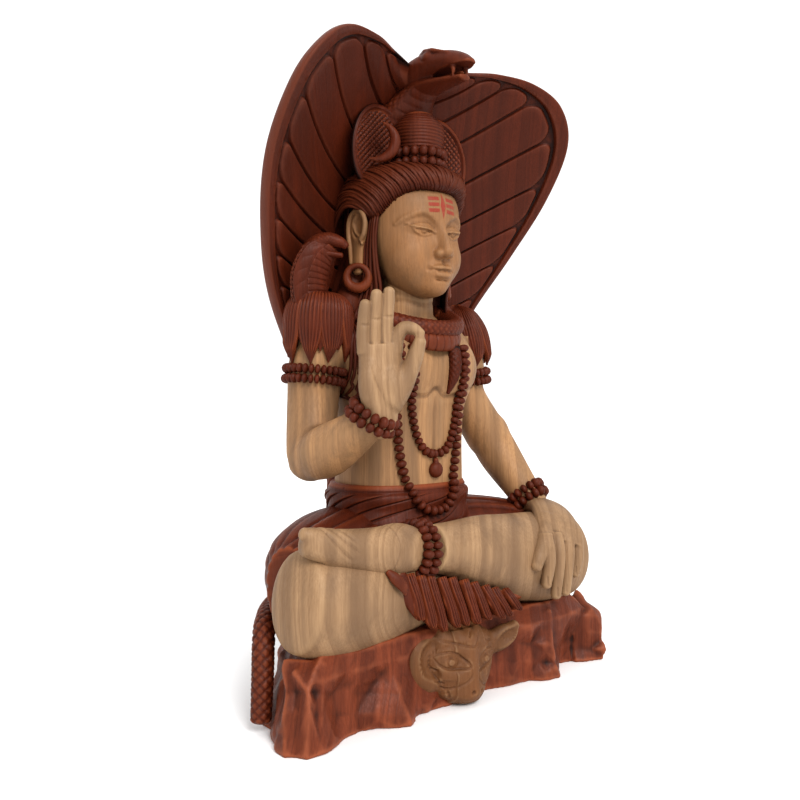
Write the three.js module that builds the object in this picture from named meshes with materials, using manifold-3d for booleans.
// A seated Shiva under a cobra's hood, carved with its rock from one half-log of wood.
// Millimetres, +Z up, +X to the figure's left, +Y to its back. The origin is the middle of the underside.
import * as THREE from "three";
import { ConvexGeometry } from "three/addons/geometries/ConvexGeometry.js";
import { mergeVertices } from "three/addons/utils/BufferGeometryUtils.js";
import Module from "manifold-3d";

const wasm = await Module();
wasm.setup();

// The rock: flat in front and round at the back, as the half-log is.
const ROCK_WIDTH = 324;
const ROCK_DEPTH = 157;
const ROCK_HEIGHT = 58;
const CRAG_WIDTH = 54;
const CRAG_REACH = 15;

// The figure above the rock. Its pose is read from a figure of POSE_HEIGHT on a rock of POSE_SEAT.
const FIGURE_HEIGHT = 437;
const POSE_HEIGHT = 437;
const POSE_SEAT = 58;

// Carved ornaments.
const NECKLACE_BEAD = 7;
const PENDANT = 11;
const BAND_BEAD = 7.4;
const KNOT_BEAD = 6.5;
const HOOD_THICKNESS = 13;
const HOOD_RIM = 9;
const HOOD_RIBS = 12;
const RIB_RELIEF = 2.4;
const COLLAR_SNAKE = 11;
const TAIL_DIAMETER = 13;
const EARRING_WIDTH = 24;
const EARRING_WIRE = 6;

const share = FIGURE_HEIGHT / POSE_HEIGHT;

// A place in the pose, in millimetres from the middle of the underside.
function at(x, y, z) {
  return new THREE.Vector3(x * share, y * share, ROCK_HEIGHT + (z - POSE_SEAT) * share);
}

// A solid from a closed geometry, turned face out if its triangles run the wrong way.
function solid(geometry) {
  const bare = new THREE.BufferGeometry();
  bare.setAttribute("position", geometry.getAttribute("position"));
  bare.setIndex(geometry.getIndex());
  const merged = mergeVertices(bare, 1e-3);
  const vertProperties = new Float32Array(merged.attributes.position.array);
  const triVerts = new Uint32Array(merged.index.array);
  const made = new wasm.Manifold(new wasm.Mesh({ numProp: 3, vertProperties, triVerts }));
  if (made.volume() > 0) return made;
  for (let i = 0; i < triVerts.length; i += 3) {
    [triVerts[i + 1], triVerts[i + 2]] = [triVerts[i + 2], triVerts[i + 1]];
  }
  return new wasm.Manifold(new wasm.Mesh({ numProp: 3, vertProperties, triVerts }));
}

function join(parts) {
  return parts.reduce((whole, part) => whole.add(part));
}

function bothSides(make) {
  return [-1, 1].flatMap((side) => make(side));
}

function centreOf(ring) {
  const sum = ring.reduce((total, p) => total.add(p), new THREE.Vector3());
  return sum.divideScalar(ring.length);
}

// A closed skin through rings of points, with a fan over each end.
function skin(rings) {
  const count = rings[0].length;
  const places = rings.flat();
  const index = [];
  for (let r = 0; r + 1 < rings.length; r++) {
    for (let i = 0; i < count; i++) {
      const a = r * count + i;
      const b = r * count + ((i + 1) % count);
      index.push(a, b, b + count, a, b + count, a + count);
    }
  }
  [0, rings.length - 1].forEach((r) => {
    const middle = places.push(centreOf(rings[r])) - 1;
    for (let i = 0; i < count; i++) {
      const fan = [middle, r * count + ((i + 1) % count), r * count + i];
      index.push(...(r === 0 ? fan : fan.reverse()));
    }
  });
  const geometry = new THREE.BufferGeometry().setFromPoints(places);
  geometry.setIndex(index);
  return solid(geometry);
}

// A squared-off circle: power 2 is round, more is boxier.
function superCircle(angle, power) {
  const curve = (v) => Math.sign(v) * Math.abs(v) ** (2 / power);
  return [curve(Math.cos(angle)), curve(Math.sin(angle))];
}

// A limb through stations [x, y, z, half-width, half-thickness], smooth between them.
// The width runs square to the limb and to up. Each end is a dome as tall as its share of the thickness,
// or cut flat where that is 0. The relief of ring i at corner j is [growth of its radius, push along the limb].
function limb(stations, { sides = 8, up = [0, 0, 1], power = 2, domes = [0, 0], relief = () => [1, 0] } = {}) {
  const path = new THREE.CatmullRomCurve3(stations.map(([x, y, z]) => at(x, y, z)));
  const last = stations.length - 1;
  const ring = (i, push, shrink) => {
    const [, , , wide, thick = wide] = stations[i];
    const along = path.getTangent(i / last);
    const across = new THREE.Vector3(...up).cross(along).normalize();
    const over = along.clone().cross(across);
    const middle = path.getPoint(i / last).addScaledVector(along, push * Math.min(wide, thick) * share);
    return Array.from({ length: sides }, (_, j) => {
      const [c, s] = superCircle(((j + 0.5) * 2 * Math.PI) / sides, power);
      const [grow, shift] = relief(i, j);
      return middle
        .clone()
        .addScaledVector(across, wide * share * c * grow * shrink)
        .addScaledVector(over, thick * share * s * grow * shrink)
        .addScaledVector(along, shift * share);
    });
  };
  const rings = stations.map((_, i) => ring(i, 0, 1));
  if (domes[0]) rings.unshift(ring(0, -domes[0], 0.66));
  if (domes[1]) rings.push(ring(last, domes[1], 0.66));
  return skin(rings);
}

// An ellipsoid at a place in the pose, with its half-sizes, turned about Z in degrees.
function egg(place, [a, b, c], { turn = 0, around = 10, tall = 6 } = {}) {
  const geometry = new THREE.SphereGeometry(1, around, tall).rotateX(Math.PI / 2);
  geometry.scale(a * share, b * share, c * share);
  geometry.rotateZ(THREE.MathUtils.degToRad(turn));
  const middle = at(...place);
  return solid(geometry.translate(middle.x, middle.y, middle.z));
}

// A closed ring whose middle line is given as a function of the turn.
function hoop(pathAt, radius, { segments = 14, sides = 4 } = {}) {
  const points = Array.from({ length: segments }, (_, i) => pathAt((i * 2 * Math.PI) / segments));
  const middle = centreOf(points);
  const places = points.flatMap((p, i) => {
    const next = points[(i + 1) % segments];
    const before = points[(i + segments - 1) % segments];
    const along = next.clone().sub(before).normalize();
    const out = p.clone().sub(middle);
    out.addScaledVector(along, -out.dot(along)).normalize();
    const over = along.clone().cross(out);
    return Array.from({ length: sides }, (_, j) => {
      const angle = (j * 2 * Math.PI) / sides;
      return p
        .clone()
        .addScaledVector(out, radius * Math.cos(angle))
        .addScaledVector(over, radius * Math.sin(angle));
    });
  });
  const index = [];
  for (let i = 0; i < segments; i++) {
    for (let j = 0; j < sides; j++) {
      const a = i * sides + j;
      const b = i * sides + ((j + 1) % sides);
      const c = ((i + 1) % segments) * sides + j;
      const d = ((i + 1) % segments) * sides + ((j + 1) % sides);
      index.push(a, c, d, a, d, b);
    }
  }
  const geometry = new THREE.BufferGeometry().setFromPoints(places);
  geometry.setIndex(index);
  return solid(geometry);
}

// Two rows of beads round a limb of radius r: wide at a bead's middle and narrow between two beads.
function beadBand([x, y, z], axis, r, { bead = BAND_BEAD, beads = 6, up = [1, 0, 0] } = {}) {
  const along = new THREE.Vector3(...axis).normalize().multiplyScalar(bead / share);
  const proud = bead / share / 2;
  const rows = [
    [-1, r - 1],
    [-0.5, r + proud],
    [0, r + 0.6],
    [0.5, r + proud],
    [1, r - 1],
  ];
  const stations = rows.map(([t, radius]) => [x + along.x * t, y + along.y * t, z + along.z * t, radius]);
  const gap = (r + 0.8) / (r + proud);
  return limb(stations, { sides: beads * 2, up, relief: (i, j) => [i % 2 && j % 2 ? gap : 1, 0] });
}

// Half the width and half the depth of the trunk, and the middle of its depth, at a height in the pose.
const TRUNK = [
  [72, 64, 50, 8],
  [128, 60, 43, 14],
  [160, 58, 41, 12],
  [208, 59, 43, 12],
  [240, 67, 43, 12],
  [264, 68, 40, 14],
  [282, 54, 31, 15],
  [292, 32, 25, 10],
];

function trunkAt(z) {
  const next = Math.max(
    1,
    TRUNK.findIndex((row) => row[0] >= z),
  );
  const [low, high] = [TRUNK[next - 1], TRUNK[next]];
  const t = (z - low[0]) / (high[0] - low[0]);
  return [1, 2, 3].map((i) => low[i] + (high[i] - low[i]) * t);
}

// The point of the trunk's front on which an ornament lies.
function onChest(x, z, proud = 0) {
  const [a, b, y] = trunkAt(z);
  return [x, y - b * Math.sqrt(Math.max(0, 1 - Math.abs(x / a) ** 2.3)) - proud, z];
}

function trunk() {
  const stations = TRUNK.map(([z, a, b, y]) => [0, y, z, a, b]);
  const chest = bothSides((s) => egg([s * 24, -13, 246], [25, 19, 19], { around: 8, tall: 6 }));
  const neckPath = [
    [0, 8, 286, 27, 24],
    [0, 4, 298, 22, 21],
    [0, 3, 320, 22, 21],
  ];
  return join([
    limb(stations, { sides: 12, up: [0, 1, 0], power: 2.3 }),
    limb(neckPath, { sides: 10, up: [0, 1, 0] }),
    ...chest,
  ]);
}

function arms() {
  const rightUpper = [
    [-62, 17, 274, 20],
    [-78, 18, 252, 20],
    [-81, 18, 222, 19.5],
    [-92, 4, 178, 20],
  ];
  const rightFore = [
    [-94, 10, 179, 19],
    [-91, -18, 187, 19],
    [-86, -44, 201, 15],
    [-82, -62, 213, 11.5],
  ];
  const leftUpper = [
    [62, 17, 274, 20],
    [77, 18, 252, 20],
    [80, 18, 224, 19],
    [101, 12, 189, 18.5],
  ];
  const leftFore = [
    [101, 16, 192, 18],
    [106, 3, 172, 18],
    [111, -15, 148, 15],
    [115, -30, 129, 12.5],
  ];
  return join([
    limb(rightUpper, { up: [0, 1, 0], domes: [0, 0.5] }),
    limb(rightFore, { domes: [0.5, 0] }),
    limb(leftUpper, { up: [0, 1, 0], domes: [0, 0.5] }),
    limb(leftFore, { domes: [0.5, 0] }),
  ]);
}

// The raised hand stands on its wrist: [across to the thumb, up along the fingers, out of the palm].
function raisedHand() {
  const wrist = new THREE.Vector3(-82, -62, 213);
  const out = new THREE.Vector3(-0.34, -0.94, 0).normalize();
  const across = new THREE.Vector3(-out.y, out.x, 0);
  const put = ([a, u, n, ...size]) => {
    const p = wrist.clone().addScaledVector(across, a).addScaledVector(out, n);
    return [p.x, p.y, p.z + u, ...size];
  };
  const palm = [
    [0, 0, 0, 11, 9],
    [1, 14, 0, 16.5, 9.5],
    [1, 30, 0, 18, 8],
    [0, 45, 0, 17, 6.5],
  ];
  const digits = [
    [[-12, 40, 0, 5], [-13, 58, 0, 4.6], [-12, 73, 1, 3.8]],
    [[-3.6, 42, 0, 5.2], [-3.8, 63, 0, 4.8], [-2.8, 80, 1, 4]],
    [[5, 42, 0, 5.2], [5.6, 64, 0, 4.8], [6.8, 82, 1, 4]],
    [[13, 40, 0, 5.4], [15, 52, 3, 5], [20, 55, 7, 4.6], [26, 51, 10, 4]],
    [[9, 8, 3, 7], [18, 18, 4, 6.5], [23, 33, 7, 5.2], [25, 46, 10, 4.2]],
  ];
  return join([
    limb(palm.map(put), { up: out.toArray(), power: 2.3 }),
    ...digits.map((digit) => limb(digit.map(put), { sides: 5, up: out.toArray(), domes: [0, 0.5] })),
  ]);
}

// The left hand lies over the front of the knee.
function restingHand() {
  const palm = [
    [115, -32, 129, 14, 8],
    [110, -51, 128, 18, 7],
    [101, -67, 118, 21, 7],
    [94, -75, 106, 20, 6],
  ];
  const fingers = [0, 1, 2, 3].map((i) => {
    const x = 76 + i * 12;
    const tip = [78, 67, 68, 81][i];
    return [
      [x, -76, 109, 5.4],
      [x - 1 - i * 0.4, -79, 95, 5],
      [x - 3 - i * 0.4, -78, tip, 4],
    ];
  });
  const thumb = [
    [93, -60, 121, 7],
    [75, -73, 110, 6],
    [63, -78, 97, 5],
  ];
  return join([
    limb(palm, { up: [0, -0.6, 0.8], power: 2.3 }),
    ...[...fingers, thumb].map((digit) => limb(digit, { sides: 5, up: [1, 0, 0.2], domes: [0, 0.5] })),
  ]);
}

// Right leg below, left leg and foot on top of it.
function legs() {
  const rightLeg = [
    [-141, -50, 91, 26, 34],
    [-122, -48, 89, 31, 38],
    [-90, -45, 88, 33, 38],
    [-52, -38, 85, 32, 35],
    [0, -14, 78, 30, 30],
  ];
  const leftLeg = [
    [-40, -62, 116, 15, 16],
    [-12, -58, 112, 20, 20],
    [20, -54, 105, 25, 28],
    [56, -48, 97, 30, 33],
    [92, -46, 91, 32, 37],
    [127, -45, 89, 32, 37],
  ];
  const foot = [
    [-46, -63, 117, 14, 14],
    [-74, -66, 119, 14, 17],
    [-116, -65, 125, 11, 16],
    [-138, -61, 130, 9, 14],
  ];
  const toes = Array.from({ length: 5 }, (_, i) => {
    const size = i === 0 ? 5 : 4.2;
    const z = 140 - i * 6;
    return limb(
      [
        [-131 + i, -64, z, size],
        [-145 + i * 2, -60, z + 2, size],
      ],
      { sides: 4, domes: [0, 0.5] },
    );
  });
  return join([
    limb(rightLeg, { sides: 10, domes: [0.28, 0] }),
    limb(leftLeg, { sides: 10, domes: [0, 0.5] }),
    limb(foot, { power: 2.3, domes: [0.5, 0] }),
    ...toes,
  ]);
}

// The cloth over the thighs, with its hem's folds, and the sash wound over it.
function cloth() {
  const thighs = bothSides((s) => {
    const lap = [
      [s * 20, 24, 98, 46, 42],
      [s * 64, 10, 98, 43, 40],
      [s * 100, -8, 96, 34, 37],
      [s * 118, -18, 93, 25, 33],
    ];
    const folds = [0, 1].map((i) =>
      limb(
        [
          [s * 106, 8 - i * 4, 114 - i * 30, 10],
          [s * (134 + i * 2), -6 - i * 4, 108 - i * 30, 8],
        ],
        { sides: 4 },
      ),
    );
    return [limb(lap, { sides: 10, power: 2.2, domes: [0, 0.5] }), ...folds];
  });
  const sash = [
    [0, 13, 122, 60, 42],
    [0, 13, 128, 67, 49],
    [0, 13, 138, 63, 45],
    [0, 13, 147, 66, 48],
    [0, 13, 156, 58, 41],
  ];
  const folded = (i, j) => [i % 2 ? 1 + 0.03 * Math.sin(j * 2.1) : 1, 4 * Math.sin(j * 1.3 + i)];
  return join([...thighs, limb(sash, { sides: 12, up: [0, 1, 0], relief: folded })]);
}

// The head. The face keeps to the thirds of a drawing book.
const CHIN = 302;
const HEAD_TALL = 100;
const EYES = CHIN + HEAD_TALL * 0.5;
const BROW = CHIN + HEAD_TALL * 0.57;
const NOSE_BASE = CHIN + HEAD_TALL * 0.28;
const MOUTH = CHIN + HEAD_TALL * 0.18;
const FACE_FRONT = -37;

function head() {
  const skull = egg([0, 0, 357], [39, 39, 45], { around: 12, tall: 8 });
  const jaw = egg([0, -10, 328], [32, 28, 27], { around: 10, tall: 6 });
  const nose = limb(
    [
      [0, FACE_FRONT + 1, BROW, 3, 4],
      [0, FACE_FRONT - 2, NOSE_BASE + 10, 3.6, 4],
      [0, FACE_FRONT - 4, NOSE_BASE + 3, 5.8, 4.4],
    ],
    { sides: 6, up: [0, 1, 0], domes: [0, 0.5] },
  );
  const wings = bothSides((s) => egg([s * 5, FACE_FRONT, NOSE_BASE + 2.4], [3, 4, 3], { around: 6, tall: 4 }));
  const lips = [1.7, -1.8].map((rise) => egg([0, FACE_FRONT + 3, MOUTH + rise], [9, 4, 2.2], { around: 6, tall: 4 }));
  const lids = bothSides((s) => egg([s * 15, FACE_FRONT + 8, EYES], [8.5, 5, 4], { turn: s * 18, around: 8, tall: 4 }));
  return join([skull, jaw, nose, ...wings, ...lips, ...lids]);
}

function ears() {
  return bothSides((s) => {
    const shell = [
      [s * 40, 14, 371, 5, 4],
      [s * 42, 14, 358, 9, 4],
      [s * 42, 14, 340, 6, 3.5],
      [s * 42, 13, 321, 4.5, 4],
    ];
    const radius = ((EARRING_WIDTH - EARRING_WIRE) / 2) * share;
    const ringAt = (turn) =>
      at(s * 43, 13, 315).add(new THREE.Vector3(0, radius * Math.cos(turn), radius * Math.sin(turn)));
    return [
      limb(shell, { sides: 6, up: [1, 0, 0] }),
      hoop(ringAt, (EARRING_WIRE / 2) * share, { segments: 8 }),
    ];
  });
}

// Swept-back hair with a roll over the brow, and what falls behind the ears.
function hair() {
  const cap = egg([0, 14, 369], [46, 43, 41], { around: 12, tall: 7 });
  const roll = limb(
    [
      [-43, 2, 350, 4],
      [-39, -16, 371, 6],
      [-22, -32, 386, 6.5],
      [0, -38, 390, 6.5],
      [22, -32, 386, 6.5],
      [39, -16, 371, 6],
      [43, 2, 350, 4],
    ],
    { sides: 6 },
  );
  const behindEars = bothSides((s) =>
    limb(
      [
        [s * 30, 22, 362, 15],
        [s * 36, 24, 325, 14],
        [s * 50, 18, 292, 18],
      ],
      {},
    ),
  );
  const nape = limb(
    [
      [0, 32, 384, 34, 22],
      [0, 38, 335, 40, 22],
      [0, 38, 285, 62, 24],
    ],
    { up: [0, 1, 0] },
  );
  return join([cap, roll, ...behindEars, nape]);
}

// The wound topknot over its rings of beads, and the crescent moon at its right side.
function topknot() {
  const knot = [
    [0, -10, 398, 18],
    [0, -10, 414, 17],
    [0, -10, 430, 19],
    [0, -10, 440, 17],
    [0, -10, 446, 8],
  ];
  const beads = beadBand([0, -10, 407], [0, 0, 1], 18, { bead: KNOT_BEAD, beads: 6 });
  const horn = new THREE.Shape();
  horn.absarc(0, 0, 14 * share, -2.1, 1.1, false);
  horn.absarc(-6 * share, 2 * share, 11.5 * share, 0.85, -1.85, true);
  const moon = new THREE.ExtrudeGeometry(horn, { depth: 8 * share, bevelEnabled: false, curveSegments: 5 });
  const place = at(-27, -3, 421);
  moon.rotateX(Math.PI / 2).translate(place.x, place.y, place.z);
  return join([limb(knot, { sides: 10, up: [0, 1, 0] }), beads, solid(moon)]);
}

// The hood of the small cobra that stands behind the topknot.
function knotCobra() {
  const lobes = bothSides((s) => egg([s * 36, 6, 418], [24, 6, 32], { turn: s * -12, around: 8, tall: 6 }));
  const stem = limb(
    [
      [0, 14, 388, 32, 9],
      [0, 8, 440, 24, 8],
    ],
    { up: [0, 1, 0] },
  );
  return join([...lobes, stem]);
}

// The cobra on the right shoulder: a raised hood with its head bent to the front.
function shoulderCobra() {
  const hoodPath = [
    [-86, 16, 294, 15, 8],
    [-86, 14, 312, 17, 8],
    [-83, 10, 328, 15, 8],
    [-77, 6, 338, 9, 7],
  ];
  const head = [
    [-80, 8, 337, 7, 6],
    [-71, 0, 341, 8, 5],
    [-64, -7, 338, 4, 3],
  ];
  const jaw = [
    [-77, 4, 331, 6, 4],
    [-68, -3, 331, 3.5, 2],
  ];
  return join([limb(hoodPath, { up: [0.3, 1, 0] }), limb(head, { sides: 6, domes: [0, 0.5] }), limb(jaw, { sides: 4 })]);
}

// The hair that caps each shoulder and ends in pointed locks above the armlet.
const LOCKS = 8;
const LOCK_TIP = 14;

function shoulderLocks() {
  return bothSides((s) => {
    const cape = [
      [s * 34, 22, 300, 14, 22],
      [s * 56, 19, 287, 20, 25],
      [s * 74, 18, 271, 23, 24],
      [s * 79, 18, 252, 23, 23],
    ];
    const relief = (i, j) => {
      if (i === 3) return j % 2 ? [0.97, LOCK_TIP] : [0.82, -2];
      return [j % 2 ? 1.03 : 0.95, 0];
    };
    return limb(cape, { sides: LOCKS * 2, up: [0, 1, 0], relief });
  });
}

// The snake worn as a collar: a scaled tube, its belly plates below, and its tail down the chest.
function collarSnake() {
  const around = (a, b, z) => (turn) => {
    const y = b * Math.sin(turn);
    return at(a * Math.cos(turn), 4 + y, z + 0.36 * (y + b));
  };
  const tail = limb(
    [
      [...onChest(37, 262, 1), 6.5, 5],
      [...onChest(36, 246, 1), 6, 4.5],
      [...onChest(34, 225, 0), 1.5, 2],
    ],
    { sides: 4, up: [0, 1, 0] },
  );
  const radius = (COLLAR_SNAKE / 2) * share;
  return join([hoop(around(41, 36, 271), radius), hoop(around(40, 37, 262), radius * 0.95), tail]);
}

// Two strings that hang on the chest, the shorter one with a pendant.
const STRING_STEP = 20;

function necklaces() {
  const radius = NECKLACE_BEAD / 2 / share;
  const string = (half, low) => {
    const drop = (t) => onChest(half * Math.sin((t * Math.PI) / 2), low + (256 - low) * Math.abs(t) ** 2.4, 0.6);
    const line = new THREE.CatmullRomCurve3(
      Array.from({ length: 17 }, (_, i) => new THREE.Vector3(...drop((i - 8) / 8))),
    );
    const stations = line
      .getSpacedPoints(Math.round(line.getLength() / STRING_STEP))
      .map((p) => [p.x, p.y, p.z, radius * 1.15]);
    return limb(stations, { sides: 3, up: [0, -1, 0] });
  };
  const pendant = PENDANT / 2 / share;
  return join([string(36, 136), string(28, 179), egg(onChest(0, 168), [pendant, pendant, pendant], { around: 6 })]);
}

// Two rows of beads on each upper arm, at each wrist and at the left ankle.
function beadedBands() {
  return join([
    ...bothSides((s) => beadBand([s * 80, 18, 238], [0, 0, 1], 19.5, { up: [0, 1, 0] })),
    beadBand([-84, -55, 208], [0.1, -0.8, 0.6], 13, { beads: 5 }),
    beadBand([113, -23, 138], [0.15, -0.62, -0.77], 14, { beads: 5 }),
    beadBand([-34, -61, 115], [-1, 0, 0.1], 17.5, { up: [0, 0, 1] }),
  ]);
}

// The big hood's middle line and its rim, from the foot to the notch at the top.
const HOOD_MIDDLE = [
  [0, 56, 236],
  [0, 57, 300],
  [0, 54, 350],
  [0, 45, 395],
  [0, 30, 430],
  [0, 10, 456],
  [0, -8, 462],
];
const HOOD_EDGE = [
  [68, 48, 236],
  [104, 35, 300],
  [127, 9, 350],
  [140, -20, 396],
  [137, -47, 438],
  [119, -55, 466],
  [93, -47, 480],
  [62, -34, 479],
  [34, -22, 469],
];

// A row of the hood runs along one rib, from rim to rim in front and back again behind.
// The cobra's neck swells out of the middle: behind all the way, and in front where it rises over the topknot.
const NECK_SHARE = 0.17;
const NECK_PROUD = 9;

function hood() {
  const middle = new THREE.CatmullRomCurve3(HOOD_MIDDLE.map((p) => at(...p)));
  const edge = new THREE.CatmullRomCurve3(HOOD_EDGE.map((p) => at(...p)));
  const rows = HOOD_RIBS * 2;
  const ribAt = (t) => {
    const from = middle.getPoint(t);
    const to = edge.getPoint(t);
    const bend = from.clone().lerp(to, 0.55);
    bend.y += (from.y - to.y) * 0.28;
    bend.z -= 16 * share * (1 - t * 0.4);
    return new THREE.QuadraticBezierCurve3(from, bend, to);
  };
  const point = (row, column, push) => {
    const p = ribAt(row / rows).getPoint(Math.abs(column));
    p.y += push * share;
    p.x *= Math.sign(column) || 1;
    return p;
  };
  const frontAt = (row, reach) => {
    if (reach > 0.9) return 0;
    if (reach > NECK_SHARE) return RIB_RELIEF * (row % 2 === 0 ? 1.6 : 0.5);
    return reach === 0 ? -NECK_PROUD * THREE.MathUtils.smoothstep(row / rows, 0.5, 0.9) : 0;
  };
  const backAt = (reach) => {
    const neck = reach > NECK_SHARE ? 0 : NECK_PROUD;
    return HOOD_THICKNESS + (HOOD_RIM - HOOD_THICKNESS) * reach + neck;
  };
  const half = [NECK_SHARE, 0.5, 0.88, 0.93, 1];
  const front = [...half.map((c) => -c).reverse(), 0, ...half];
  const back = [NECK_SHARE + 0.35, NECK_SHARE - 0.07];
  return skin(
    Array.from({ length: rows + 1 }, (_, row) => [
      ...front.map((c) => point(row, c, frontAt(row, Math.abs(c)))),
      ...[...back, ...back.map((c) => -c).reverse()].map((c) => point(row, c, backAt(Math.abs(c)))),
    ]),
  );
}

// The big cobra: its body up the back to the hood, and its open mouth over the figure.
function cobra() {
  const body = [
    [-4, 48, 56, 42, 28],
    [0, 58, 150, 36, 19],
    [0, 62, 250, 28, 15],
  ];
  const upperJaw = [
    [0, 6, 468, 17, 10],
    [0, -16, 478, 19, 12],
    [0, -38, 479, 17, 11],
    [0, -58, 475, 11, 7],
    [0, -68, 472, 5, 4],
  ];
  const lowerJaw = [
    [0, -8, 464, 15, 8],
    [0, -38, 462, 11, 5],
    [0, -64, 458, 6, 2.5],
  ];
  const fangs = bothSides((s) =>
    limb(
      [
        [s * 6, -58, 472, 2.4],
        [s * 6, -58, 459, 1],
      ],
      { sides: 4, up: [0, 1, 0] },
    ),
  );
  return join([
    limb(body, { up: [0, 1, 0] }),
    limb(upperJaw, { domes: [0.5, 0.5] }),
    limb(lowerJaw, { sides: 6 }),
    ...fangs,
    ...bothSides((s) => egg([s * 14, -36, 482], [4, 6, 4], { around: 6, tall: 4 })),
  ]);
}

// The cobra's tail, laid round the back of the rock and hanging down its right side.
function tail() {
  const r = TAIL_DIAMETER / 2 / share;
  const path = [
    [-20, 60, 72, r * 1.8],
    [-64, 58, 68, r * 1.5],
    [-104, 34, 66, r * 1.2],
    [-132, 2, 66, r],
    [-142, -14, 56, r],
    [-146, -20, 32, r],
    [-149, -22, 8, r * 0.9],
  ];
  return limb(path, { sides: 6, up: [1, 0.3, 0], domes: [0, 0.5] });
}

// The tiger skin under the figure: a pad, and a fringe of pointed fur locks in one comb.
const FRINGE_LOCKS = 10;
const FRINGE_WIDTH = 112;

function tigerSkin() {
  const pad = limb(
    [
      [-66, -18, 68, 54, 14],
      [6, -20, 76, 52, 24],
      [66, -18, 68, 54, 14],
    ],
    { domes: [0.5, 0.5] },
  );
  const columns = FRINGE_LOCKS * 2;
  const row = (z, y, lean, tip) => {
    const front = Array.from({ length: columns + 1 }, (_, i) => {
      const ridge = i % 2;
      const x = -FRINGE_WIDTH / 2 - 4 + (i * FRINGE_WIDTH) / columns + (ridge ? lean + tip * 0.3 : lean);
      return at(x, y - ridge * 4, ridge ? z - tip : z);
    });
    return [...front, at(FRINGE_WIDTH / 2 - 4 + lean, y + 14, z), at(-FRINGE_WIDTH / 2 - 4 + lean, y + 14, z)];
  };
  return join([pad, skin([row(90, -56, -3, 0), row(78, -68, 0, 0), row(68, -73, 3, 11)])]);
}

// The tiger's mask at the front of the rock.
const MASK_HALF = 30;

function tigerMask() {
  const face = [
    [-2, -60, 60, 20, 12],
    [-2, -60, 46, MASK_HALF, 17],
    [-2, -60, 26, MASK_HALF, 19],
    [0, -62, 9, 19, 17],
    [0, -62, 3, 15, 14],
  ];
  const muzzle = [
    [0, -66, 28, 9, 10],
    [1, -70, 16, 13, 10],
    [1, -69, 6, 11, 8],
  ];
  return join([
    limb(face, { sides: 10, up: [0, 1, 0] }),
    limb(muzzle, { sides: 6, up: [0, 1, 0] }),
    ...bothSides((s) => egg([-2 + s * 40, -65, 50], [14, 7, 13], { around: 8, tall: 4, turn: s * 12 })),
    ...bothSides((s) => egg([-1 + s * 15, -77, 29], [6, 4, 4], { around: 6, tall: 4 })),
  ]);
}

// A repeatable value from 0 to 1 for the way one crag differs from the next.
function chance(seed) {
  const wave = Math.sin(seed * 12.9898) * 43758.5453;
  return wave - Math.floor(wave);
}

// The rock's outline: along the flat front from its right corner, then round the back.
function rockOutline(t) {
  const half = ROCK_WIDTH / 2;
  const front = ROCK_WIDTH / (ROCK_WIDTH + Math.PI * half);
  if (t < front) return { x: -half + (t / front) * ROCK_WIDTH, y: -ROCK_DEPTH / 2, facing: -Math.PI / 2 };
  const facing = ((t - front) / (1 - front)) * Math.PI;
  return { x: half * Math.cos(facing), y: -ROCK_DEPTH / 2 + ROCK_DEPTH * Math.sin(facing), facing };
}

// Brings a point back inside the half-log.
function insideLog(point) {
  const half = ROCK_WIDTH / 2;
  const squash = ROCK_DEPTH / half;
  const back = Math.max(0, point.y + ROCK_DEPTH / 2) / squash;
  const fromHeart = new THREE.Vector2(point.x, back).clampLength(0, half);
  return point.set(fromHeart.x, fromHeart.y * squash - ROCK_DEPTH / 2, 0);
}

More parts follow.
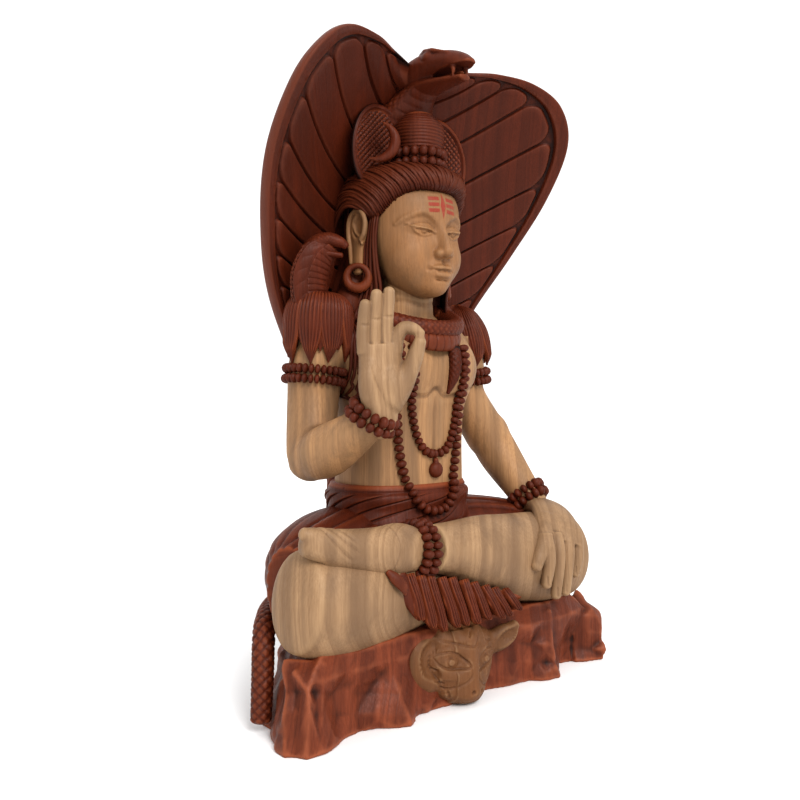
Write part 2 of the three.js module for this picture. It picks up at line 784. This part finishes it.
function rock() {
  const length = ROCK_WIDTH + (Math.PI * ROCK_WIDTH) / 2;
  const count = Math.round(length / CRAG_WIDTH);
  const core = [
    [0, 0.88],
    [ROCK_HEIGHT - 14, 0.85],
    [ROCK_HEIGHT, 0.74],
  ].map(([z, size]) =>
    Array.from({ length: count }, (_, i) => {
      const { x, y } = rockOutline(i / count);
      return new THREE.Vector3(x * size, y * size, z);
    }),
  );
  const crags = Array.from({ length: count }, (_, i) => {
    const { x, y, facing } = rockOutline((i + 0.5 + (chance(i + 5) - 0.5) * 0.3) / count);
    if (facing < 0 && Math.abs(x) < MASK_HALF * share) return [];
    const out = new THREE.Vector3(Math.cos(facing), Math.sin(facing), 0);
    const along = new THREE.Vector3(-out.y, out.x, 0);
    const foot = new THREE.Vector3(x, y, 0).addScaledVector(out, -CRAG_REACH);
    const corner = (across, reach, z) => {
      const p = foot.clone().addScaledVector(along, across * CRAG_WIDTH).addScaledVector(out, reach * CRAG_REACH);
      return insideLog(p).setZ(z * ROCK_HEIGHT);
    };
    const r = (n) => chance(i * 7 + n);
    return solid(
      new ConvexGeometry([
        corner(-0.55, -1.2, 0),
        corner(0.55, -1.2, 0),
        corner(-0.5, 0.15 + 0.3 * r(1), 0),
        corner(0.5, 0.15 + 0.3 * r(2), 0),
        corner(-0.25 + 0.5 * r(3), 1, 0),
        corner(-0.2 + 0.4 * r(4), 0.85 + 0.15 * r(5), 0.2 + 0.2 * r(6)),
        corner(-0.5, -0.3 + 0.4 * r(7), 0.45 + 0.3 * r(8)),
        corner(0.5, -0.3 + 0.4 * r(9), 0.45 + 0.3 * r(10)),
        corner(-0.15 + 0.3 * r(11), 0.1 + 0.3 * r(12), 0.72 + 0.2 * r(13)),
        corner(-0.3 * r(14), -1.1, 0.95),
      ]),
    );
  });
  return join([skin(core), ...crags.flat()]);
}

const ELEMENTS = [
  rock,
  trunk,
  arms,
  raisedHand,
  restingHand,
  legs,
  cloth,
  head,
  ears,
  hair,
  topknot,
  knotCobra,
  shoulderCobra,
  shoulderLocks,
  collarSnake,
  necklaces,
  beadedBands,
  hood,
  cobra,
  tail,
  tigerSkin,
  tigerMask,
];

function carving() {
  return join(ELEMENTS.flatMap((element) => element()));
}

function geometryOf(made) {
  const { vertProperties, triVerts } = made.getMesh();
  const geometry = new THREE.BufferGeometry();
  geometry.setAttribute("position", new THREE.BufferAttribute(vertProperties, 3));
  geometry.setIndex(new THREE.BufferAttribute(triVerts, 1));
  return geometry;
}

const stainedWood = new THREE.MeshStandardMaterial({ color: 0x7a3b22, roughness: 0.5, metalness: 0 });
const figure = new THREE.Mesh(geometryOf(carving()), stainedWood);
figure.name = "shiva_carving";

const group = new THREE.Group();
group.add(figure);

export default group;
